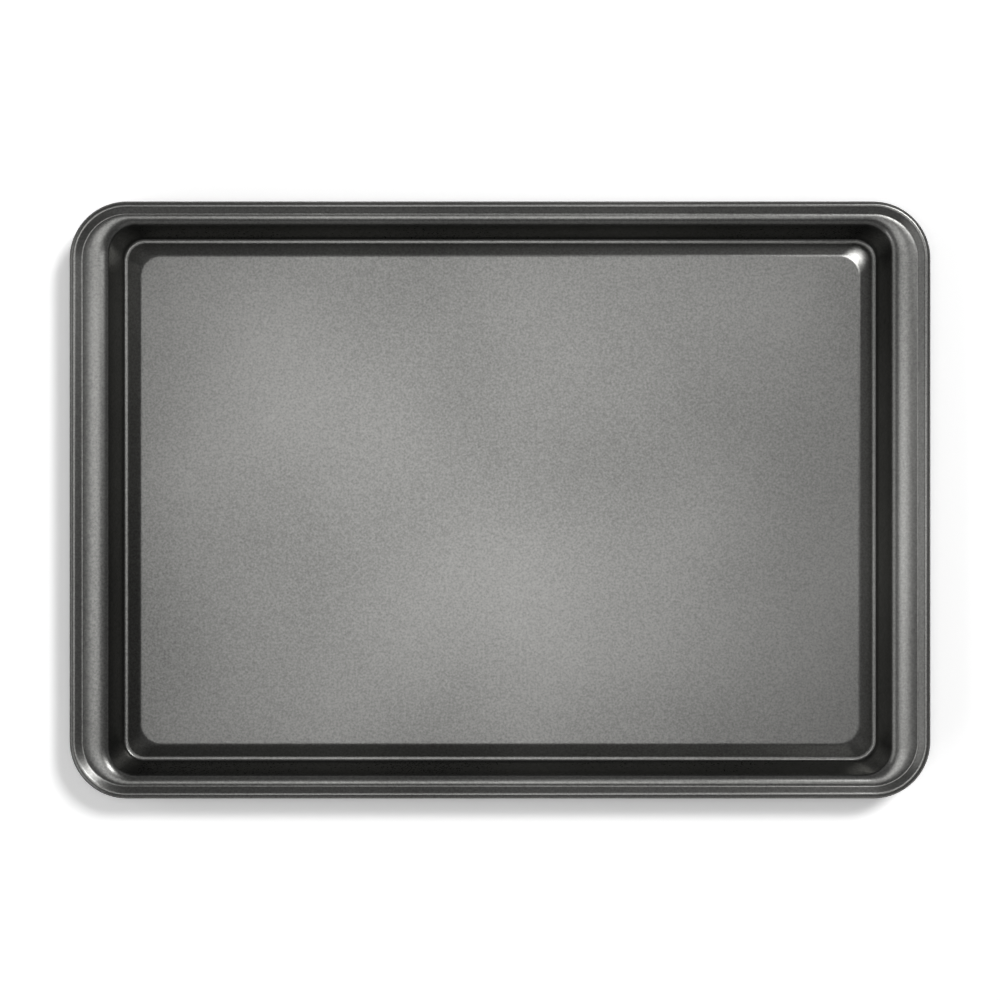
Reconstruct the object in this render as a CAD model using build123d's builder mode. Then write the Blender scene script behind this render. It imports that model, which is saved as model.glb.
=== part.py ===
from build123d import *
from math import atan2, cos, sin, tan, radians
import os

os.makedirs("parts", exist_ok=True)

# Jelly roll pan: one sheet of steel pressed into a shallow tray, its edge rolled round a wire.
# Millimetres. The origin is on the surface that the pan stands on, under its middle.
# +X runs along the long side and +Z points up.

# Sheet
sheet = 0.7

# Opening between the walls, where the line of the wall meets the line of the flange, and how much
# smaller its corner radius is than that of the flange
opening_length = 426.98
opening_width = 299.88
opening_corner_step = 9.2

# Walls and floor, on the upper side of the sheet, with the height of the flange's outer edge
flange_height = 23.33
wall_run = 6.1
foot_corner_radius = 11.8
channel_width = 2.3
slope_run = 6.85
panel_rise = 2.6
panel_corner_radius = 11.6

# Flange beyond its bend, on the short ends and on the long sides, and how far it falls outward
end_flange = 8.85
side_flange = 1.0
flange_fall = 1.0

# Bends of the sheet, each measured on the inside of its own bend
bend_radius = 4.2
wall_foot_radius = 1.5
panel_foot_radius = 2.5
panel_edge_radius = 4.0

# Rolled rim, its wire, and the straight flank that rises to it from a crease in the flange
rim_corner_radius = 31.0
wire_diameter = 3.2
wire_clearance = 0.1
wire_facets = 12
crease_radius = 1.4
flank_run = 2.7
flank_angle = 30.0
roll_angle = 262.0

# Levels of the sheet's upper side
channel_level = sheet
panel_level = channel_level + panel_rise
opening_level = flange_height + flange_fall

# Angles that the wall and the panel's slope make with the floor
wall_angle = atan2(opening_level - channel_level, wall_run)
slope_angle = atan2(panel_rise, slope_run)

# The flange reaches out past the bend by its own width
bend_reach = (bend_radius + sheet) * tan(wall_angle / 2)
flange_length = opening_length + 2 * (bend_reach + end_flange)
flange_width = opening_width + 2 * (bend_reach + side_flange)
mean_flange_slope = flange_fall / (bend_reach + (end_flange + side_flange) / 2)

# The rim's outline, worked out from the crease, the flank and the top of the bead
wire_room_radius = wire_diameter / 2 + wire_clearance
bead_radius = wire_room_radius + sheet
flank_turn = radians(flank_angle)
flank_length = flank_run / cos(flank_turn)
rim_reach = (bead_radius + crease_radius) * sin(flank_turn) + flank_run
bead_lift = (bead_radius + crease_radius) * (1 - cos(flank_turn)) + flank_run * tan(flank_turn)
half_facet_turn = 180 / wire_facets
wire_level = flange_height + bead_lift - bead_radius
wire_length = flange_length + 2 * rim_reach
wire_width = flange_width + 2 * rim_reach
wire_corner_radius = rim_corner_radius - bead_radius
flange_corner_radius = wire_corner_radius - rim_reach
opening_corner_radius = flange_corner_radius - opening_corner_step

# Room left over the flange, so that the upper space passes the lower one
headroom = 2 * sheet


def space_above(depth):
    """The space over one side of the pressed sheet, up to just over the flange.

    A depth of zero gives the upper side and a depth of one sheet gives the underside. All levels
    are lower by the depth, and each outline steps sideways by the depth times the tangent of half
    its bend, so that the sheet keeps one thickness on the floor, the slope and the wall. The flange
    is steeper on the long sides than on the ends, so one mean slope sets how much lower the
    underside of its lip lies, and its thickness is right to within a tenth.
    """
    wall_step = depth * tan(wall_angle / 2)
    slope_step = depth * tan(slope_angle / 2)
    lip_level = opening_level - depth - wall_step * mean_flange_slope
    foot_length = opening_length - 2 * wall_run
    foot_width = opening_width - 2 * wall_run
    panel_foot_length = foot_length - 2 * (channel_width + slope_step)
    panel_foot_width = foot_width - 2 * (channel_width + slope_step)
    panel_foot_corner_radius = foot_corner_radius - channel_width - slope_step
    with BuildPart() as space:
        # Over the flange, which falls away from the opening
        with BuildSketch(Plane.XY.offset(flange_height - depth)) as flange:
            RectangleRounded(flange_length, flange_width, flange_corner_radius)
        extrude(amount=flange_fall + headroom)
        with BuildSketch(Plane.XY.offset(lip_level)) as opening:
            RectangleRounded(
                opening_length + 2 * wall_step,
                opening_width + 2 * wall_step,
                opening_corner_radius + wall_step,
            )
        loft(sections=[flange.sketch.face(), opening.sketch.face()], ruled=True, mode=Mode.SUBTRACT)

        # Between the walls
        with BuildSketch(Plane.XY.offset(channel_level - depth)) as foot:
            RectangleRounded(
                foot_length + 2 * wall_step, foot_width + 2 * wall_step, foot_corner_radius + wall_step
            )
        loft(sections=[foot.sketch.face(), opening.sketch.face()], ruled=True)
        lip = edges().filter_by_position(Axis.Z, lip_level, lip_level)
        fillet(lip, radius=bend_radius + sheet - depth)
        fillet(edges().group_by(Axis.Z)[0], radius=wall_foot_radius + depth)

        # The raised panel pushes up into this space
        with BuildSketch(Plane.XY.offset(channel_level - depth)) as panel_foot:
            RectangleRounded(panel_foot_length, panel_foot_width, panel_foot_corner_radius)
        with BuildSketch(Plane.XY.offset(panel_level - depth)) as panel:
            RectangleRounded(
                panel_foot_length - 2 * slope_run,
                panel_foot_width - 2 * slope_run,
                panel_corner_radius - slope_step,
            )
        loft(sections=[panel_foot.sketch.face(), panel.sketch.face()], ruled=True, mode=Mode.SUBTRACT)
        channel_floor = faces().filter_by(Plane.XY).sort_by(Axis.Z)[0]
        fillet(channel_floor.inner_wires()[0].edges(), radius=panel_foot_radius + depth)
        panel_top = faces().filter_by(Plane.XY).sort_by(Axis.Z)[1]
        fillet(panel_top.edges(), radius=panel_edge_radius + sheet - depth)
    return space.part


# Loop that the wire follows, and the plane across it where the rim's sections are drawn, with its
# X axis pointing out of the pan and its Y axis pointing up
with BuildSketch(Plane.XY.offset(wire_level)) as wire_outline:
    RectangleRounded(wire_length, wire_width, wire_corner_radius)
wire_loop = wire_outline.sketch.wire()
loop_heading = wire_loop % 0
section_plane = Plane(wire_loop @ 0, x_dir=loop_heading.cross(Plane.XY.z_dir), z_dir=-loop_heading)

# Pan body: the pressed tray and, from the same sheet, the crease, the flank and the rolled rim
with BuildPart() as pan_body:
    add(space_above(sheet))
    add(space_above(0), mode=Mode.SUBTRACT)

    with BuildSketch(section_plane) as rim_section:
        with BuildLine():
            JernArc((0, bead_radius), (1, 0), bead_radius, -roll_angle)
            bead_side = JernArc((0, bead_radius), (-1, 0), bead_radius, flank_angle)
            flank = PolarLine(bead_side @ 1, flank_length, direction=bead_side % 1)
            JernArc(flank @ 1, flank % 1, crease_radius, -flank_angle)
            offset(amount=sheet, side=Side.LEFT)
        make_face()

        # The inside of the roll is out of sight, so it gets flat sides that face the wire's corners
        RegularPolygon(
            wire_room_radius,
            wire_facets,
            major_radius=False,
            rotation=half_facet_turn,
            mode=Mode.SUBTRACT,
        )
    sweep(path=wire_loop)

pan_body.part.label = "pan_body"

# Rim wire: one loop of steel wire, its ends welded together, hidden inside the roll, so that its
# round section is drawn with flat sides
with BuildPart() as rim_wire:
    with BuildSketch(section_plane) as wire_section:
        RegularPolygon(wire_diameter / 2, wire_facets)
    sweep(path=wire_loop)

rim_wire.part.label = "rim_wire"

export_step(pan_body.part, "parts/pan_body.step")
export_step(rim_wire.part, "parts/rim_wire.step")

print("overall", pan_body.part.bounding_box().size, "volume", round(pan_body.part.volume))
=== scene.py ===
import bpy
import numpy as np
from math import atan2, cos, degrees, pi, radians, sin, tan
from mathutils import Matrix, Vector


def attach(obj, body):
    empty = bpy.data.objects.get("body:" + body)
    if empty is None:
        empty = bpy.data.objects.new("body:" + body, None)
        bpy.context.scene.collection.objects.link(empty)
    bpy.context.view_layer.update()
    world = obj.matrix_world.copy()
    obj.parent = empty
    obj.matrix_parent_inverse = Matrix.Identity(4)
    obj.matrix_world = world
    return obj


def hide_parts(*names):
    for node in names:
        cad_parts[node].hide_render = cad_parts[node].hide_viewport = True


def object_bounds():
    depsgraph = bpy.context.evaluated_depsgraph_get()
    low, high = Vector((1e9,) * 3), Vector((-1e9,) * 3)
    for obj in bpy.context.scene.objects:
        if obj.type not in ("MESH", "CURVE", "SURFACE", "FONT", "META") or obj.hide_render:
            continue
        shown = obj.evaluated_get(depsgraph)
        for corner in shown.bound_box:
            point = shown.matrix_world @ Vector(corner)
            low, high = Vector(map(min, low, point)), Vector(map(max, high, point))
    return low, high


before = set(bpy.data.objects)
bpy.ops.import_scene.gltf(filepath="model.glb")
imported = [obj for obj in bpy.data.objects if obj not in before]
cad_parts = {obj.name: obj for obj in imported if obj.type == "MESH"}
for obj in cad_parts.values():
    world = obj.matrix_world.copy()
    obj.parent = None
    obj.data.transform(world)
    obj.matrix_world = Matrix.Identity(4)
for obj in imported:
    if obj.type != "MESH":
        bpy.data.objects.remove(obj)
cad_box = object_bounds()

# %% [markdown]
# # A pressed and rolled baking pan
# The pan is one sheet of steel with a dark non-stick coat, and a wire that its edge is rolled round.
# The packed model gives the true sizes, and this lesson gives the same sheet a fine, smooth skin, a
# coating that catches light as the real one does, and plain studio light to see it by.
# Everything is in metres, with the pan standing on the floor at height zero.

mm = 0.001
low, high = cad_box
print("the pan measures", [round(side / mm, 1) for side in (high - low)], "mm")

# %% [markdown]
# # The sheet's section
# Cut through, the sheet runs from the raised panel down a slope into a narrow channel, up the wall,
# over a bend to a flange that falls slightly outward, and from a crease up a straight flank to the
# bead that is rolled round the wire.
# It could be drawn by hand as one curve, but then a change of one bend would move all the others.
# Here the flat stretches meet at sharp corners, and each corner is rounded by its own bend, which is
# how a die maker thinks of it.

# %% Flat stretches
sheet = 0.7 * mm
flange_height = 23.33 * mm
wall_run = 6.1 * mm
channel_width = 2.3 * mm
slope_run = 6.85 * mm
panel_rise = 2.6 * mm
end_flange = 8.85 * mm
side_flange = 1.0 * mm
flange_fall = 1.0 * mm

panel_level = sheet + panel_rise
opening_level = flange_height + flange_fall
wall_angle = atan2(opening_level - sheet, wall_run)
slope_angle = atan2(panel_rise, slope_run)
print("the wall leans", round(90 - degrees(wall_angle), 1), "degrees off upright")

# %% [markdown]
# # Bends and corners
# A bend's radius is measured on its inside, where the die presses.
# Seen from above, each level has its own corner radius: wide at the rim, and about as small as the
# press can draw it further down, so that the wall's corners are cones and not cylinders.

# %% Radii
bend_radius = 4.2 * mm
wall_foot_radius = 1.5 * mm
panel_foot_radius = 2.5 * mm
panel_edge_radius = 4.0 * mm

rim_corner = 31.0 * mm
opening_corner = 14.8 * mm
foot_corner = 11.8 * mm
panel_corner = 11.6 * mm
print("the wall's corner narrows from", opening_corner / mm, "to", foot_corner / mm, "mm")

# %% [markdown]
# # Arcs between the flats
# A point of the section needs four numbers: the half length and half width of the loop that it
# draws round the pan, the radius of that loop's corners, and its height.
# Because the flange is wider at the ends than along the sides, and because the corners grow less
# round towards the bottom, the loops aren't copies of each other, and a plain sweep would be wrong.
# Rounding all four numbers together keeps the drawn corners as smooth as the straight walls.

# %% A bend between two flat stretches
outward = np.array([1.0, 1.0, 1.0, 0.0])


def heading(start, end):
    """The step from one section point to another, scaled to a length of one across the sheet."""
    step = end - start
    return step / np.hypot(step[1], step[3])


def bend(corner, before, after, radius, steps):
    """An arc that rounds a sharp corner of the section, between two headings.

    It is a rational quadratic curve. Its middle control point is the corner, with a weight of the
    cosine of half the turn, which makes it a true circle's arc. The end points lie on the flats,
    the radius times the tangent of half the turn from the corner.
    """
    half_turn = np.arccos(before[1] * after[1] + before[3] * after[3]) / 2
    reach = radius * tan(half_turn)
    first, last = corner - before * reach, corner + after * reach
    t = np.linspace(0, 1, steps)[:, None]
    weights = (1 - t) ** 2, 2 * t * (1 - t) * cos(half_turn), t**2
    return (weights[0] * first + weights[1] * corner + weights[2] * last) / sum(weights)


def flat(start, end, steps):
    """Points inside a straight stretch. The two ends are left out, and half a cosine wave spaces
    the rest, so that they lie close together beside the bends."""
    t = (1 - np.cos(np.linspace(0, pi, steps + 2)[1:-1]))[:, None] / 2
    return start + (end - start) * t


quarter = bend(np.zeros(4), outward, np.array([0, 0, 0, 1.0]), 1.0, 5)
radius_check = np.hypot(quarter[:, 1] + 1, quarter[:, 3] - 1)
print("a test bend stays", radius_check.round(6).tolist(), "from its centre")

# %% [markdown]
# # The rim
# The edge of the sheet turns up out of the flange, rises straight, and is then curled past three
# quarters of a turn round the wire, which stiffens the pan and leaves no sharp edge.
# The bead touches the outer edge of the packed model, so the rim is worked out from there inward,
# and the flange ends where the rim begins.

# %% Sizes of the rim
wire_diameter = 3.2 * mm
wire_clearance = 0.1 * mm
crease_radius = 1.4 * mm
flank_run = 2.7 * mm
flank_turn, roll_turn = radians(30), radians(262)

bead_radius = wire_diameter / 2 + wire_clearance + sheet
rim_reach = (bead_radius + crease_radius) * sin(flank_turn) + flank_run
bead_lift = (bead_radius + crease_radius) * (1 - cos(flank_turn)) + flank_run * tan(flank_turn)
wire_half = np.array([high.x, high.y]) - bead_radius
wire_level = flange_height + bead_lift - bead_radius
wire_corner = rim_corner - bead_radius
print("the bead is", round(2 * bead_radius / mm, 2), "mm across")

# %% [markdown]
# # The rim's line
# Two arcs and a straight line between them run into each other, so one short walk along them gives
# the line, and the second side of the sheet only changes the arcs' radii.

# %% Crease, flank and roll
crease_points, flank_points, roll_points = 8, 4, 60


def rim_line(depth):
    """An arc that turns up out of the flange, a straight flank, and an arc over the bead and round
    the wire. The first arc's centre is over the sheet, so its radius gains the depth, and the
    second one's is under the sheet, so its radius loses it."""
    up = np.linspace(0, flank_turn, crease_points)
    over = flank_turn - np.linspace(0, flank_turn + roll_turn, roll_points)
    crease_out = (crease_radius + depth) * np.sin(up) - rim_reach
    crease_rise = (crease_radius + depth) * (1 - np.cos(up)) + flange_height - depth - wire_level
    bead_out = (depth - bead_radius) * np.sin(over)
    bead_rise = (bead_radius - depth) * np.cos(over)
    share = np.linspace(0, 1, flank_points + 2)[1:-1]
    flank_out = crease_out[-1] + (bead_out[0] - crease_out[-1]) * share
    flank_rise = crease_rise[-1] + (bead_rise[0] - crease_rise[-1]) * share
    out = np.concatenate([crease_out, flank_out, bead_out])
    rise = np.concatenate([crease_rise, flank_rise, bead_rise]) + wire_level
    return np.stack([wire_half[0] + out, wire_half[1] + out, wire_corner + out, rise], axis=1)


print("the rim's line has", len(rim_line(0.0)), "points")

# %% [markdown]
# # Two sides of one sheet
# The sheet is as thick on the slope and the wall as on the floor, and a shell copied straight down
# would be far too thin on the steep wall.
# So the underside is drawn like the upper side, with each level lower by the sheet and each loop
# stepped outward by just as much as its bend asks for.

# %% Where the flange and the opening lie
flange_half = wire_half - rim_reach
bend_reach = (bend_radius + sheet) * tan(wall_angle / 2)
opening_half = flange_half - bend_reach - np.array([end_flange, side_flange])
mean_flange_slope = flange_fall / (bend_reach + (end_flange + side_flange) / 2)
print("the opening is", (2 * opening_half / mm).round(2).tolist(), "mm at its sharp corner")

# %% [markdown]
# # One side, from the middle of the panel to the end of the roll
# Points lie close together on the bends, where light runs over the sheet, and far apart on the
# flats, where there is nothing to see.

# %% Points of each stretch, and the walk along one side
panel_points, channel_points, slope_points, wall_points, flange_points = 24, 2, 6, 10, 6
panel_bend_points, wall_foot_points, flange_bend_points = 9, 14, 16


def side_of_sheet(depth):
    """The upper side of the sheet for a depth of zero, or its underside for a depth of one sheet.

    Every level drops by the depth. A loop steps out by the depth times the tangent of half its
    bend, and a bend's radius grows or shrinks by the depth, so the sheet keeps its thickness.
    """
    wall_step, slope_step = depth * tan(wall_angle / 2), depth * tan(slope_angle / 2)

    def loop(half, radius, level):
        return np.array([half[0], half[1], radius, level - depth])

    foot_half = opening_half - wall_run + wall_step
    panel_foot_half = foot_half - wall_step - channel_width - slope_step
    panel_half = panel_foot_half - slope_run
    panel = loop(panel_half, panel_corner - slope_step, panel_level)
    panel_foot = loop(panel_foot_half, foot_corner - channel_width - slope_step, sheet)
    foot = loop(foot_half, foot_corner + wall_step, sheet)
    lip_level = opening_level - wall_step * mean_flange_slope
    opening = loop(opening_half + wall_step, opening_corner + wall_step, lip_level)
    flange = loop(flange_half, wire_corner - rim_reach, flange_height)
    middle = loop(panel_half * 0, 0, panel_level)

    slope, wall, fall = heading(panel, panel_foot), heading(foot, opening), heading(opening, flange)
    edge_bend = bend(panel, outward, slope, panel_edge_radius + sheet - depth, panel_bend_points)
    slope_bend = bend(panel_foot, slope, outward, panel_foot_radius + depth, panel_bend_points)
    foot_bend = bend(foot, outward, wall, wall_foot_radius + depth, wall_foot_points)
    flange_bend = bend(opening, wall, fall, bend_radius + sheet - depth, flange_bend_points)
    return np.concatenate([
        flat(middle, edge_bend[0], panel_points),
        edge_bend,
        flat(edge_bend[-1], slope_bend[0], slope_points),
        slope_bend,
        flat(slope_bend[-1], foot_bend[0], channel_points),
        foot_bend,
        flat(foot_bend[-1], flange_bend[0], wall_points),
        flange_bend,
        flat(flange_bend[-1], flange, flange_points),
        rim_line(depth),
    ])


upper, under = side_of_sheet(0.0), side_of_sheet(sheet)
print("the section has", len(upper), "points a side")

# %% [markdown]
# # From section to surface
# Every section point becomes a loop: a rounded rectangle.
# A loop is four corner arcs joined by straight sides, and both can be written with one formula if
# each point keeps the direction of its corner and its share of the straight.
# With that, all loops come from one product of arrays, and the mesh is a plain grid of quads.


# %% Loops round the pan
def loop_directions(corner_steps, long_steps, short_steps):
    """Shares that place a point on any loop: x is (half length - radius) * across + radius * cosine,
    and y is (half width - radius) * along + radius * sine."""
    signs = (1, 1), (-1, 1), (-1, -1), (1, -1)
    shares = []
    for index, steps in enumerate((long_steps, short_steps) * 2):
        start, end = index * pi / 2, (index + 1) * pi / 2
        here, there = np.array(signs[index])[:, None], np.array(signs[(index + 1) % 4])[:, None]
        turn = np.linspace(start, end, corner_steps + 1)
        shares.append(np.concatenate([here + 0 * turn[None], [np.cos(turn), np.sin(turn)]]))
        t = np.cos(np.linspace(0, pi, steps + 1)[1:-1])[None]
        straight = (here - there) / 2 * t + (here + there) / 2
        shares.append(np.concatenate([straight, cos(end) + 0 * t, sin(end) + 0 * t]))
    return np.concatenate(shares, axis=1)


def loop_points(section, directions):
    """Points of every loop at once, as an array of loops by points by three."""
    half_x, half_y, radius, level = section[:, :, None].transpose(1, 0, 2)
    across, along, cosine, sine = directions
    x = (half_x - radius) * across + radius * cosine
    y = (half_y - radius) * along + radius * sine
    return np.stack([x, y, level + 0 * x], axis=2)


directions = loop_directions(corner_steps=20, long_steps=28, short_steps=20)
columns = directions.shape[1]
section = np.concatenate([upper, under[::-1]])
skin = loop_points(section, directions).reshape(-1, 3)
print(len(section), "loops of", columns, "points each")

# %% [markdown]
# # Closing the skin
# The loops shrink to nothing in the middle of the panel, above and below, and one point closes each
# side there, like the hub of a wheel.
# The roll's end needs nothing more, because the last loop of the upper side is joined to the last of
# the underside. So the mesh is one closed skin, and every face is listed with its front outward.


# %% Faces and the finished mesh
def grid_faces(rows, columns):
    """Quads between neighbouring rows of a grid that closes on itself along its columns."""
    row, column = np.meshgrid(np.arange(rows - 1), np.arange(columns), indexing="ij")
    beside = (column + 1) % columns
    here, below = row * columns, (row + 1) * columns
    quads = [below + column, below + beside, here + beside, here + column]
    return np.stack(quads, axis=-1).reshape(-1, 4)


def mesh_object(name, points, faces):
    """A smooth-shaded object from arrays of points and faces, at the origin and unturned."""
    mesh = bpy.data.meshes.new(name)
    mesh.from_pydata(points.tolist(), [], faces)
    mesh.shade_smooth()
    mesh.update()
    made = bpy.data.objects.new(name, mesh)
    bpy.context.collection.objects.link(made)
    return made


poles = np.array([[0, 0, panel_level], [0, 0, panel_level - sheet]])
top_pole, bottom_pole = len(skin), len(skin) + 1
last_row = (len(section) - 1) * columns
faces = grid_faces(len(section), columns).tolist()
faces += [(top_pole, j, (j + 1) % columns) for j in range(columns)]
faces += [(bottom_pole, last_row + (j + 1) % columns, last_row + j) for j in range(columns)]
pan = mesh_object("pan_sheet", np.concatenate([skin, poles]), faces)
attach(pan, "root")
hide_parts("pan_body")
print("the pan's skin has", len(faces), "faces")

# %% [markdown]
# # Shader maths
# A finish is a small graph of nodes, and a graph written node by node is hard to read.
# Here one class stands for a socket, so that sums and products of sockets read like arithmetic.


# %% Sockets that add and multiply
class Value:
    """One output socket of a material. Arithmetic on it adds a Math node."""

    def __init__(self, finish, socket):
        self.finish, self.socket = finish, socket

    def math(self, operation, first, second):
        return self.finish.node("ShaderNodeMath", {"operation": operation}, {0: first, 1: second})

    def __add__(self, other):
        return self.math("ADD", self, other)

    def __sub__(self, other):
        return self.math("SUBTRACT", self, other)

    def __mul__(self, other):
        return self.math("MULTIPLY", self, other)

    def __rsub__(self, other):
        return self.math("SUBTRACT", other, self)

    __radd__, __rmul__ = __add__, __mul__


print("a socket knows", [name for name in vars(Value) if name.startswith("__r")])

# %% [markdown]
# # One method for every node
# Each node is added in the same three moves: its settings, its inputs, and the output that is
# wanted. An input can be a number or the output of another node, and one method can tell which.


# %% A material and its nodes
def pick(sockets, key):
    """A node's socket by its identifier, where names repeat, or else by its name or number."""
    named = [socket for socket in sockets if socket.identifier == key]
    return named[0] if named else sockets[key]


class Finish:
    """A material or a world, and the one method that adds nodes to it."""

    def __init__(self, name, blocks=bpy.data.materials, end="ShaderNodeOutputMaterial"):
        self.block, self.end = blocks.new(name), end
        self.block.use_nodes = True
        self.tree = self.block.node_tree
        self.tree.nodes.clear()

    def node(self, kind, settings=None, inputs=None, output=0):
        """Adds a node, sets its settings, fills its inputs with numbers or links, and gives one
        output."""
        made = self.tree.nodes.new(kind)
        for name, value in (settings or {}).items():
            setattr(made, name, value)
        for key, value in (inputs or {}).items():
            socket = pick(made.inputs, key)
            if isinstance(value, Value):
                self.tree.links.new(value.socket, socket)
            else:
                socket.default_value = value
        return Value(self, pick(made.outputs, output)) if made.outputs else None

    def noise(self, scale, detail, roughness=0.5):
        """A noise value of about 0 to 1 over the piece's own metres."""
        place = self.node("ShaderNodeTexCoord", output="Object")
        inputs = {"Vector": place, "Scale": scale, "Detail": detail, "Roughness": roughness}
        return self.node("ShaderNodeTexNoise", inputs=inputs)

    def blend(self, share, start, end):
        """A colour between two others by a share."""
        inputs = {"Factor_Float": share, "A_Color": start, "B_Color": end}
        return self.node("ShaderNodeMix", {"data_type": "RGBA"}, inputs, output="Result_Color")

    def surface(self, kind, inputs):
        """Ends the graph with a shader of one kind, and gives the material or the world."""
        self.node(self.end, inputs={"Surface": self.node(kind, inputs=inputs)})
        print(self.block.name, "has", len(self.tree.nodes), "nodes")
        return self.block

    def ramp(self, value, start, end):
        """A share that grows from 0 to 1 between two values, and stays there beyond them."""
        inputs = {0: value, 1: 1 / (end - start), 2: -start / (end - start)}
        return self.node("ShaderNodeMath", {"operation": "MULTIPLY_ADD", "use_clamp": True}, inputs)


def grey(level, tone=(1.0, 1.0, 1.0)):
    """A colour with an alpha of one, from a level and its share in red, green and blue."""
    return (*(level * np.array(tone)), 1.0)


print("middle grey is", grey(0.5))

# %% [markdown]
# # The coating
# A non-stick coat of this kind is sprayed on, and carries fine metal flakes in a dark binder.
# The flakes lie nearly flat, so the coat shines like a dull dark metal, and each flake that faces
# the light is a brighter speck: noise of about a millimetre mixes two greys and tilts the surface.
# The spray isn't quite even, so a second noise of a hand's breadth makes soft lighter clouds.
# At a grazing angle the binder swallows what the flakes send back, so the edge tint is black, and
# the steep walls come out dark.

# %% Two greys and two noises
coat_tone = (1.0, 0.998, 0.965)
dark_grey, light_grey = grey(0.065, coat_tone), grey(0.265, coat_tone)
speck_scale, speck_share = 830.0, 0.88
cloud_scale, cloud_share = 7.0, 0.6

coat = Finish("nonstick_coating")
speck = coat.noise(speck_scale, detail=2.0, roughness=0.6)
cloud = coat.noise(cloud_scale, detail=1.5)
share = 0.5 + (speck - 0.5) * speck_share + (cloud - 0.5) * cloud_share
tilt = {"Strength": 0.2, "Distance": 0.00005, "Height": speck}
pan.data.materials.append(coat.surface("ShaderNodeBsdfPrincipled", {
    "Base Color": coat.blend(share, dark_grey, light_grey),
    "Metallic": 0.95,
    "Roughness": 0.3,
    "Specular Tint": grey(0.0),
    "Normal": coat.node("ShaderNodeBump", inputs=tilt),
}))

# %% [markdown]
# # The wire
# The wire in the rim is plain drawn steel, and it is hidden: the roll leaves only a narrow dark gap
# underneath. So the packed model's own solid is fine enough, and it keeps that mesh.

# %% Drawn steel
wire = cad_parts["rim_wire"]
wire.data.materials.clear()
wire.data.materials.append(Finish("steel_wire").surface("ShaderNodeBsdfPrincipled", {
    "Base Color": grey(0.6, (1.0, 1.0, 0.97)),
    "Metallic": 1.0,
    "Roughness": 0.35,
}))
print("the wire has", len(wire.data.polygons), "faces")

# %% [markdown]
# # The floor
# The pan lies on a pure white sheet, and the eye should see only a soft shadow on it.
# A plain diffuse floor does that. Rays from the camera, and those that come by way of metal or
# glass, meet a whiter colour than the rays that light the pan, so the sheet turns white without
# more light on the pan, and it keeps its shadow. Well away from the pan the same rays meet plain
# white, because the light of the lamps fades there.

# %% White sheet
paper = Finish("white_sheet")
ray = "ShaderNodeLightPath"
seen = paper.node(ray, output="Is Camera Ray") + paper.node(ray, output="Is Glossy Ray")
seen = seen + paper.node(ray, output="Is Transmission Ray")
lit_white, seen_white = 0.9, 1.33
half_side, fade_start, fade_end = 4.0, 0.5, 1.2
white = paper.blend(seen, grey(lit_white), grey(seen_white))
corners = np.array([[-1, -1, 0], [1, -1, 0], [1, 1, 0], [-1, 1, 0]]) * half_side
floor = mesh_object("floor", corners, [(0, 1, 2, 3)])

place = paper.node("ShaderNodeTexCoord", output="Object")
distance = paper.node("ShaderNodeVectorMath", {"operation": "LENGTH"}, {0: place}, output="Value")
lit = paper.node("ShaderNodeBsdfDiffuse", inputs={"Color": white})
plain = paper.node("ShaderNodeEmission", inputs={"Color": grey(1.0)})
far = paper.ramp(distance, fade_start, fade_end) * seen
floor.data.materials.append(paper.surface("ShaderNodeMixShader", {0: far, 1: lit, 2: plain}))
print("the floor is", 2 * half_side, "m across")

# %% [markdown]
# # The light
# What shows on dark metal is mostly its surroundings, so each lamp is there for one reflection.
# An area light's power is its brightness times its area and pi, which lets each soft box be given
# by the brightness that the metal will mirror.


# %% A soft box
def softbox(name, azimuth, tilt, distance, width, depth, brightness):
    """An area light aimed at the middle of the pan. Its azimuth turns from +X towards +Y, and its
    tilt is the angle from straight overhead."""
    light = bpy.data.lights.new(name, "AREA")
    light.shape, light.size, light.size_y = "RECTANGLE", width, depth
    light.energy = brightness * pi * width * depth
    lamp = bpy.data.objects.new(name, light)
    a, t = radians(azimuth), radians(tilt)
    lamp.location = [distance * sin(t) * cos(a), distance * sin(t) * sin(a), distance * cos(t)]
    lamp.rotation_euler = (0, t, a)
    bpy.context.collection.objects.link(lamp)
    print(f"{name}: {light.energy:.0f} W, {azimuth} degrees round and {tilt} degrees down")


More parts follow.
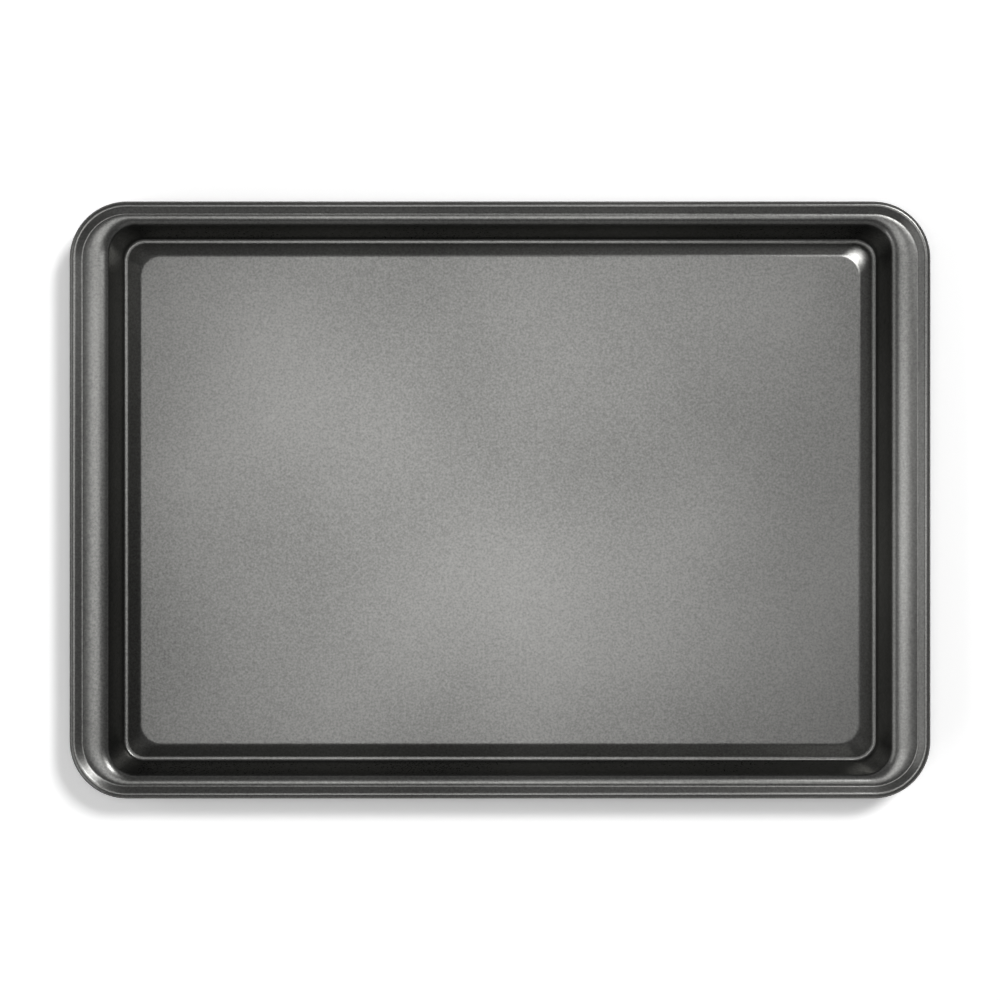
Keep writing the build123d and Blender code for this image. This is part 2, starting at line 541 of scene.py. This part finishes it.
# %% [markdown]
# # Where the lamps stand
# The one overhead, a little to the left, fills the floor panel and fades towards its edges.
# A small bright one to the upper right gives the white corner of the panel, the bright lines on the
# rim and the shadow to the lower left.
# Wide ones low on the left and in front light the edges that face them. All stand far off, so that
# the sheet is lit evenly.

# %% Lamps
softbox("overhead", azimuth=180, tilt=2.3, distance=2.0, width=0.95, depth=0.9, brightness=2.65)
softbox("key", azimuth=45, tilt=36, distance=4.4, width=1.0, depth=1.0, brightness=30)
softbox("left", azimuth=180, tilt=55, distance=4.0, width=1.8, depth=3.6, brightness=1.1)
softbox("left front", azimuth=218, tilt=58, distance=4.0, width=1.2, depth=1.6, brightness=2.6)
softbox("front", azimuth=270, tilt=60, distance=4.0, width=1.2, depth=2.8, brightness=0.35)

# %% [markdown]
# # The room
# A studio is dim overhead and pale along its walls. The dim part keeps the darkest walls of the pan
# from going black, and the pale band above the horizon is what the walls and bends mirror when the
# pan is seen from low down. The camera itself sees plain white all round, so that nothing shows
# where the white sheet ends.

# %% World
dim_grey, band_share, band_top = 0.15, 0.6, 0.4
room = Finish("studio", bpy.data.worlds, "ShaderNodeOutputWorld")
direction = room.node("ShaderNodeTexCoord", output="Generated")
height = room.node("ShaderNodeSeparateXYZ", inputs={0: direction}, output="Z")
low_down = room.ramp(height, band_top, 0.0)
camera_ray = room.node("ShaderNodeLightPath", output="Is Camera Ray")
pale = camera_ray.math("MAXIMUM", low_down * low_down * band_share, camera_ray)
colour = room.blend(pale, grey(dim_grey), grey(1.0))
scene = bpy.context.scene
scene.world = room.surface("ShaderNodeBackground", {"Color": colour})

# %% [markdown]
# # The camera
# The pan is seen straight from above, from about 1.2 m: near enough for the walls to show on all
# four sides, and for the panel to look a little smaller than the opening.

# %% Camera
camera_height, lens_mm = 1.2085, 78.76
camera = bpy.data.objects.new("camera", bpy.data.cameras.new("camera"))
camera.data.lens = lens_mm
camera.location = (0, 0, camera_height)
bpy.context.collection.objects.link(camera)
scene.camera = camera
scene.view_settings.view_transform = "Standard"
print("the camera is", camera_height, "m up, with a lens of", lens_mm, "mm")

# %% [markdown]
# The fine skin must stay inside the box of the packed model.
